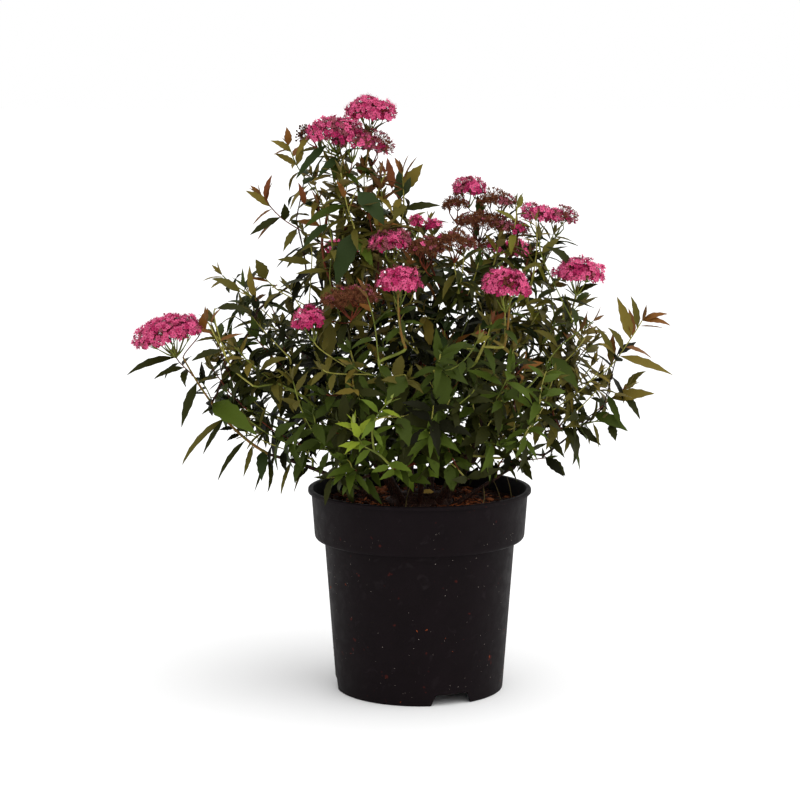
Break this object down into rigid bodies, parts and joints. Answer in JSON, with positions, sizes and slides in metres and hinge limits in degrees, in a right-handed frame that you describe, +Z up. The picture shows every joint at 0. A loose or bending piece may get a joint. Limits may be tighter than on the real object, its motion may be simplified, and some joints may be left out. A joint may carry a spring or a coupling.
{
  "type": "spirea shrub",
  "caption": "Flowering spirea shrub in a round nursery pot: arching woody stems, a loose crown of leafy masses and flat pads of pink blossom.",
  "frame": {"origin": "centre of the flat pad in the middle of the pot's underside, on the surface that the pot stands on and on the pot's axis", "axes": "+Z up along the pot's axis; -Y towards the shrub's best side; +X to the right seen from there"},
  "size_m": [0.538, 0.3982, 0.5759],
  "materials": {
    "pot_plastic": "satin moulded black polypropylene, scuffed, with specks of grit and fibre",
    "compost": "matte moist peat and bark chips",
    "bark": "matte red-brown bark, finely ribbed",
    "green_stem": "satin yellow-green young stem, flushed red",
    "foliage": "satin leaves, dark green with olive and bronze young tips",
    "blossom": "matte pink florets in flat heads, spent heads maroon-brown"
  },
  "bodies": {
    "root": {"pot": "pot_plastic", "compost": "compost", "stem_base": "bark", "stem_front_left": "bark", "stem_front": "bark", "stem_front_right": "bark", "stem_right": "bark", "stem_back_right": "bark", "stem_back": "bark", "stem_back_left": "bark", "stem_left": "bark", "leader_left": "bark", "leader_right": "bark", "stem_low_right": "bark", "arching_stem_lower": "bark", "arching_stem_upper": "green_stem", "shoot_top_left": "green_stem", "shoot_top_right": "green_stem", "shoot_front_left": "green_stem", "shoot_front_right": "green_stem", "shoot_right": "green_stem", "shoot_right_top": "green_stem", "crown_centre": "foliage", "crown_front": "foliage", "crown_back": "foliage", "crown_left": "foliage", "crown_right": "foliage", "crown_front_left": "foliage", "crown_front_right": "foliage", "crown_back_left": "foliage", "crown_back_right": "foliage", "upper_left": "foliage", "upper_right": "foliage", "upper_back_left": "foliage", "upper_back_right": "foliage", "upper_back": "foliage", "skirt_left": "foliage", "skirt_right": "foliage", "spray_top_left": "foliage", "spray_upper_left": "foliage", "spray_top_right": "foliage", "spray_left": "foliage", "spray_left_edge": "foliage", "spray_hanging_left": "foliage", "spray_right_upper": "foliage", "spray_right_lower": "foliage", "spray_low_right": "foliage", "spray_back_left": "foliage", "spray_back_right": "foliage", "spray_back": "foliage", "blossom_top": "blossom", "blossom_middle": "blossom", "blossom_right_top": "blossom", "blossom_front_left": "blossom", "blossom_front_right": "blossom", "blossom_right": "blossom", "blossom_left": "blossom", "blossom_back_left": "blossom", "blossom_back_right": "blossom"}
  },
  "joints": []
}
